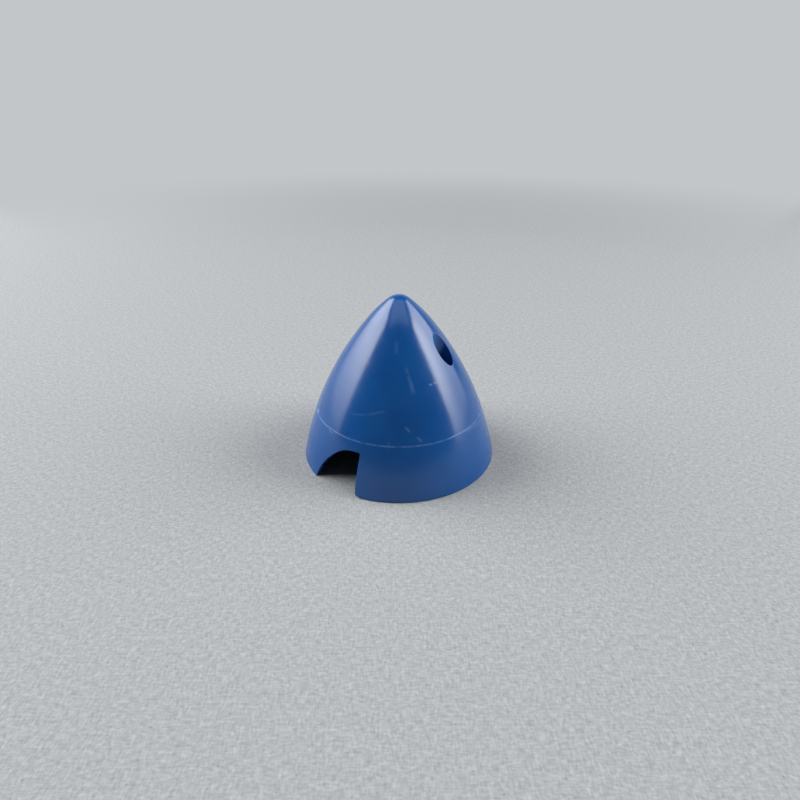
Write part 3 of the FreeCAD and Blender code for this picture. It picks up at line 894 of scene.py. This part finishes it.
@dataclass(frozen=True)
class GreyCloth:
    """Plain grey cotton under the part, which hangs pale behind it and dark in front."""

    colour: Colour = (0.303, 0.315, 0.322, 1.0)
    curtain: Colour = (0.12, 0.12, 0.125, 1.0)
    backdrop: Colour = (0.545, 0.565, 0.58, 1.0)
    backdrop_from: tuple[float, float] = (0.28, 0.56)
    curtain_from: tuple[float, float] = (0.74, 0.98)
    backdrop_half_angle: float = 43.0
    backdrop_edge: float = 0.02
    roughness: float = 0.95
    sheen: float = 0.1
    thread: float = 0.0003
    thread_stretch: float = 0.35
    threads: Grain = Grain(0.6, 1.0)
    slubs: Grain = Grain(0.16, 3.0)
    specks: Grain = Grain(0.4, 2.0, 0.64, 0.74)
    relief: float = 0.35
    relief_depth: float = 0.4
    weave_share: float = 0.5
    slub_share: float = 0.2
    base_share: float = 0.4
    fleck_share: float = 0.2

    def material(self, bearing: float) -> bpy.types.Material:
        """Build the material.

        Args:
            bearing: bearing of the set's front, in degrees; the threads run along it.

        Returns:
            The finished material.
        """
        shader = Shader("grey_cloth")
        place = shader.add("ShaderNodeTexCoord").outputs["Object"]
        laid = shader.add("ShaderNodeMapping", {
            "Vector": place, "Rotation": (0.0, 0.0, -math.radians(bearing))}).outputs[0]
        weave, tone = self.weave(shader, laid)
        toned = shader.add("ShaderNodeVectorMath", {0: self.colour[:3], "Scale": tone},
                           operation="SCALE").outputs[0]
        spot = shader.add("ShaderNodeSeparateXYZ", {"Vector": laid}).outputs
        squares = [shader.math("POWER", spot[axis], 2.0) for axis in "XY"]
        reach = shader.math("SQRT", shader.math("ADD", *squares))
        plain = shader.blend(shader.ramp(reach, *self.curtain_from), toned, self.curtain)
        cloth = shader.add("ShaderNodeBsdfPrincipled", {
            "Base Color": plain, "Roughness": self.roughness, "Specular IOR Level": self.sheen})
        shader.press(cloth, weave, self.relief, self.thread * self.relief_depth)
        pale = shader.add("ShaderNodeEmission", {"Color": self.backdrop})
        seen = shader.math("MULTIPLY", shader.ramp(reach, *self.backdrop_from),
                           self.seen(shader, shader.math("DIVIDE", spot["Y"], reach)))
        return shader.finish(shader.add("ShaderNodeMixShader", {
            0: seen, 1: cloth.outputs[0], 2: pale.outputs[0]}))

    def weave(self, shader: Shader, laid: Socket) -> tuple[Socket, Socket]:
        """Make the threads and flecks.

        Args:
            shader: the material's tree.
            laid: place on the cloth, with the threads along X and Y.

        Returns:
            The threads' height, and the tone by which the colour is scaled.
        """
        threads, slubs, specks = (grain.for_thread(self.thread)
                                  for grain in (self.threads, self.slubs, self.specks))
        runs = [shader.add("ShaderNodeVectorMath", {0: laid, 1: stretch}, operation="MULTIPLY")
                for stretch in ((1.0, self.thread_stretch, 1.0), (self.thread_stretch, 1.0, 1.0))]
        weave = shader.math("ADD", *(threads.value(shader, run.outputs[0]) for run in runs))
        uneven = shader.math("MULTIPLY_ADD", slubs.value(shader, laid), self.slub_share,
                             self.base_share)
        tone = shader.math("MULTIPLY_ADD", weave, self.weave_share, uneven)
        fleck = shader.math("MULTIPLY", specks.mask(shader, laid), self.fleck_share)
        return weave, shader.math("SUBTRACT", tone, fleck)

    def seen(self, shader: Shader, ahead: Socket) -> Socket:
        """Rays that see the pale backdrop, which hangs only behind the part.

        Args:
            shader: the material's tree.
            ahead: cosine of the angle round the part from the back of the set.

        Returns:
            One for camera, glossy and transmission rays that meet it, nought for the rest.
        """
        edge = math.cos(math.radians(self.backdrop_half_angle))
        behind = shader.ramp(ahead, edge - self.backdrop_edge, edge + self.backdrop_edge)
        rays = shader.add("ShaderNodeLightPath").outputs
        sheen = shader.math("MAXIMUM", rays["Is Glossy Ray"], rays["Is Transmission Ray"])
        return shader.math("MULTIPLY", shader.math("MAXIMUM", rays["Is Camera Ray"], sheen), behind)


# ------------------------ the part

@dataclass(frozen=True)
class ConeMoulding:
    """The whole cone, moulded in one piece."""

    ogive: Ogive = Ogive()
    skin: RimAndSeam = RimAndSeam()
    opening: BladeCutout = BladeCutout()
    well: ScrewWell = ScrewWell()
    finish: MouldedNylon = MouldedNylon()
    blades: int = 2
    sides: int = 384
    seat_diameter: float = 53.8
    seat_depth: float = 2.5
    post_wall: float = 1.4
    post_draft: float = 0.75
    rib_thickness: float = 1.2
    rib_setback: float = 3.5
    core_overrun: float = 1.0
    core_gap: float = 0.2
    core_steps: tuple[int, ...] = (40, 14, 8)
    sharp_angle: float = 32.0
    facing_least: float = 0.9
    skin_error: float = 0.006
    tip_reach: float = 1e-6

    def core_section(self) -> list[Point]:
        """Half section of the hollow: the backplate seat, its step, and the inner ogive."""
        seat = self.seat_diameter / 2
        step = self.ogive.radius_at(self.seat_depth, self.ogive.wall)
        inner = [point for point in self.ogive.curve(self.ogive.wall, self.core_steps)
                 if point[1] > self.seat_depth + self.core_gap]
        foot = -self.core_overrun
        return [(0.0, foot), (seat, foot), (seat, self.seat_depth), (step, self.seat_depth)] + inner

    def build(self) -> bpy.types.Object:
        """Build and dress the cone.

        Returns:
            The finished piece at the origin.
        """
        outer = self.skin.outline(self.ogive)
        core = self.core_section()
        piece = self.polyline("cone_shell", outer)
        helpers = [self.polyline("core_section", core), self.well.cutter(self.ogive),
                   self.opening.cutter(self.ogive)]
        modifier = piece.modifiers.new("moulding", "NODES")
        modifier.node_group = moulding_tree(turned_solid_tree(), repeat_tree())
        values = {
            "Section Points": len(outer),
            "Core Section": helpers[0],
            "Core Points": len(core),
            "Well Tool": helpers[1],
            "Opening Tool": helpers[2],
            "Sides": self.sides,
            "Blades": self.blades,
            "Screw Radius": self.well.circle / 2 * MM,
            "Post Radius": (self.well.diameter / 2 + self.post_wall) * MM,
            "Post Draft": math.radians(self.post_draft),
            "Post Start": self.seat_depth * MM,
            "Rib Thickness": self.rib_thickness * MM,
            "Rib Start": (self.seat_depth + self.rib_setback) * MM,
            "Rib Reach": self.ogive.base_diameter / 2 * MM,
            "Top": self.ogive.height * MM,
            "Material": self.finish.material(self.ogive, self.skin),
        }
        for item in modifier.node_group.interface.items_tree:
            if item.in_out == "INPUT" and item.name in values:
                modifier[item.identifier] = values[item.name]
        piece.update_tag()
        evaluated = piece.evaluated_get(bpy.context.evaluated_depsgraph_get())
        mesh = bpy.data.meshes.new_from_object(evaluated)
        piece.modifiers.remove(modifier)
        piece.data = mesh
        for helper in helpers:
            bpy.data.objects.remove(helper)
        self.shade(mesh)
        return piece

    @staticmethod
    def polyline(name: str, points: Sequence[Point]) -> bpy.types.Object:
        """Half section as a chain of edges in the XZ plane."""
        return new_mesh_object(name, [(across, 0.0, up) for across, up in points],
                               [(step, step + 1) for step in range(len(points) - 1)], [])

    def shade(self, mesh: bpy.types.Mesh) -> None:
        """Give the skin the true normals of its section, and smooth the rest up to its sharp edges.

        Args:
            mesh: the moulding's mesh, in metres.
        """
        mesh.shade_smooth()
        mesh.set_sharp_from_angle(angle=math.radians(self.sharp_angle))
        normals = read_all(mesh.corner_normals, "vector", 3)
        corners = read_all(mesh.vertices, "co", 3) / MM
        owner = read_all(mesh.loops, "vertex_index", kind=int)
        facing = np.repeat(read_all(mesh.polygons, "normal", 3),
                           read_all(mesh.polygons, "loop_total", kind=int), axis=0)
        radius = np.hypot(corners[:, 0], corners[:, 1])
        for inset, sign in ((0.0, 1.0), (self.ogive.wall, -1.0)):
            true, near = self.true_normals(corners, radius, inset)
            loop_true = true[owner] * sign
            along = np.einsum("ij,ij->i", loop_true, facing)
            close = near[owner] & (along > self.facing_least)
            normals[close] = loop_true[close]
        mesh.normals_split_custom_set(normals.tolist())

    def true_normals(self, corners: np.ndarray, radius: np.ndarray,
                     inset: float) -> tuple[np.ndarray, np.ndarray]:
        """Section normals at the mesh's corners.

        Args:
            corners: corner points in millimetres.
            radius: their distances from the axis.
            inset: how far inside the outer skin the surface lies.

        Returns:
            The outward normal at each corner, and whether the corner lies on that surface.
        """
        arcs = self.ogive.arcs(inset)
        heights = corners[:, 2]
        draft = arcs[0].start
        lean = np.full(len(corners), draft)
        gap = np.abs(radius - self.ogive.band_radius(heights, inset)) * math.cos(draft)
        bottom = arcs[0].point(arcs[0].start)[1]
        for arc in arcs:
            chosen = heights > bottom
            angle = np.arctan2(heights - arc.up, radius - arc.across)
            distance = np.abs(np.hypot(heights - arc.up, radius - arc.across) - arc.radius)
            lean = np.where(chosen, angle, lean)
            gap = np.where(chosen, distance, gap)
            bottom = arc.point(arc.end)[1]
        safe = np.maximum(radius, NEARLY_ZERO)
        true = np.stack([np.cos(lean) * corners[:, 0] / safe, np.cos(lean) * corners[:, 1] / safe,
                         np.sin(lean)], axis=1)
        true[radius < self.tip_reach] = (0.0, 0.0, 1.0)
        return true, gap < self.skin_error


# ------------------------ the studio

@dataclass(frozen=True)
class SoftBox:
    """A soft box whose light falls off towards its foot and one of its sides.

    The light at the foot and at the left and right sides, seen from behind the box, is a share of
    the brightest. It changes over the rise up the box and over the fade across it.
    """

    name: str
    bearing: float
    height: float
    distance: float
    width: float
    tall: float
    glow: float
    foot: float = 1.0
    sides: tuple[float, float] = (1.0, 1.0)
    rise: tuple[float, float] = (0.08, 0.62)
    fade: tuple[float, float] = (0.1, 0.9)

    def light(self) -> bpy.types.Light:
        """Create the lamp's data; glow is its radiance where it is brightest, white being 1."""
        data = bpy.data.lights.new(f"lamp_{self.name}", "AREA")
        data.shape = "RECTANGLE"
        data.size = self.width
        data.size_y = self.tall
        data.energy = self.glow * WATTS_PER_GLOW * self.width * self.tall
        data.use_nodes = True
        shader = NodeBuilder(data.node_tree)
        emission = next(node for node in data.node_tree.nodes if node.type == "EMISSION")
        place = shader.add("ShaderNodeNewGeometry").outputs["Parametric"]
        spot = shader.add("ShaderNodeSeparateXYZ", {"Vector": place}).outputs
        up = shader.ramp(spot["Y"], *self.rise, self.foot, 1.0)
        across = shader.ramp(spot["X"], *self.fade, *self.sides)
        strength = shader.math("MULTIPLY", up, across)
        data.node_tree.links.new(strength, emission.inputs["Strength"])
        return data


@dataclass(frozen=True)
class Studio:
    """Floor that runs up into a wall all round, lamps and camera."""

    azimuth: float = 26.4
    elevation: float = 28.64
    distance: float = 0.1824
    target: tuple[float, float, float] = (0.0, 0.0, 0.016)
    lens: float = 27.8
    shift: float = 0.00125
    sensor: float = 36.0
    nearest: float = 0.01
    world: Colour = (0.04, 0.045, 0.055, 1.0)
    boxes: tuple[SoftBox, ...] = (
        SoftBox("left", -108.3, 27.0, 0.8, 0.85, 0.96, 5.8, foot=0.24, sides=(0.62, 1.0),
                fade=(0.02, 0.5)),
        SoftBox("right", 98.0, 25.0, 0.8, 0.7, 0.85, 8.2, foot=0.3, sides=(1.0, 0.48),
                fade=(0.05, 0.65)),
        SoftBox("top", 0.0, 82.0, 0.8, 0.8, 0.5, 0.95),
    )
    flat_rings: tuple[float, ...] = (0.12, 0.3)
    floor_radius: float = 0.95
    curve_radius: float = 0.3
    curve_steps: int = 20
    wall_height: float = 0.9
    floor_sides: int = 96
    cloth: GreyCloth = GreyCloth()

    def aimed(self, name: str, data: bpy.types.ID, azimuth: float, elevation: float,
              distance: float) -> bpy.types.Object:
        """Place a camera or lamp that looks at the target.

        Args:
            name: the object's name.
            data: the camera's or lamp's data.
            azimuth: bearing from the target, in degrees from the -Y side.
            elevation: angle above the floor, in degrees.
            distance: distance from the target.

        Returns:
            The object.
        """
        a, e = math.radians(azimuth), math.radians(elevation)
        away = Vector((math.sin(a) * math.cos(e), -math.cos(a) * math.cos(e), math.sin(e)))
        made = add_object(name, data)
        made.location = Vector(self.target) + away * distance
        made.rotation_euler = away.to_track_quat("Z", "Y").to_euler()
        return made

    def camera(self) -> None:
        """Create the scene's camera."""
        data = bpy.data.cameras.new("camera")
        data.lens = self.lens
        data.sensor_width = self.sensor
        data.shift_x = self.shift
        data.clip_start = self.nearest
        bpy.context.scene.camera = self.aimed("camera", data, self.azimuth, self.elevation,
                                              self.distance)

    def lamps(self) -> None:
        """Create the soft boxes and the dim surroundings."""
        for box in self.boxes:
            lamp = self.aimed(f"lamp_{box.name}", box.light(), self.azimuth + box.bearing,
                              box.height, box.distance)
            lamp.visible_camera = False
        world = bpy.data.worlds.new("surroundings")
        world.use_nodes = True
        world.node_tree.nodes["Background"].inputs["Color"].default_value = self.world
        bpy.context.scene.world = world

    def floor(self) -> None:
        """Create the cloth under the part, which curves up into a wall all round, as staging."""
        bend = SectionArc(self.floor_radius, self.curve_radius, self.curve_radius, -math.pi / 2, 0.0)
        section = [(reach, 0.0) for reach in self.flat_rings] + bend.points(self.curve_steps)
        section.append((section[-1][0], self.wall_height))
        sides = self.floor_sides
        vertices = [(0.0, 0.0, 0.0)]
        for across, up in section:
            for side in range(sides):
                angle = 2 * math.pi * side / sides
                vertices.append((across * math.cos(angle) / MM, across * math.sin(angle) / MM, up / MM))
        faces = [(0, 1 + side, 1 + (side + 1) % sides) for side in range(sides)]
        faces += [(face[0], *face[:0:-1]) for face in ring_faces(len(section), sides, first=1)]
        made = new_mesh_object("floor", vertices, [], faces)
        made.data.shade_smooth()
        made.data.materials.append(self.cloth.material(self.azimuth))


def main() -> None:
    """Load the frame, build the cone and the studio, and report each piece."""
    logging.basicConfig(level=logging.INFO, format="%(name)s: %(message)s")
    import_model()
    bpy.context.scene.view_settings.view_transform = "Standard"

    studio = Studio()
    studio.camera()
    LOG.info("camera set")
    studio.lamps()
    studio.floor()
    LOG.info("floor and lamps set")

    cone = ConeMoulding().build()
    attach(cone, "root")
    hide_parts(NODE)
    LOG.info("%s: %d faces", cone.name, len(cone.data.polygons))


if __name__ == "__main__":
    main()
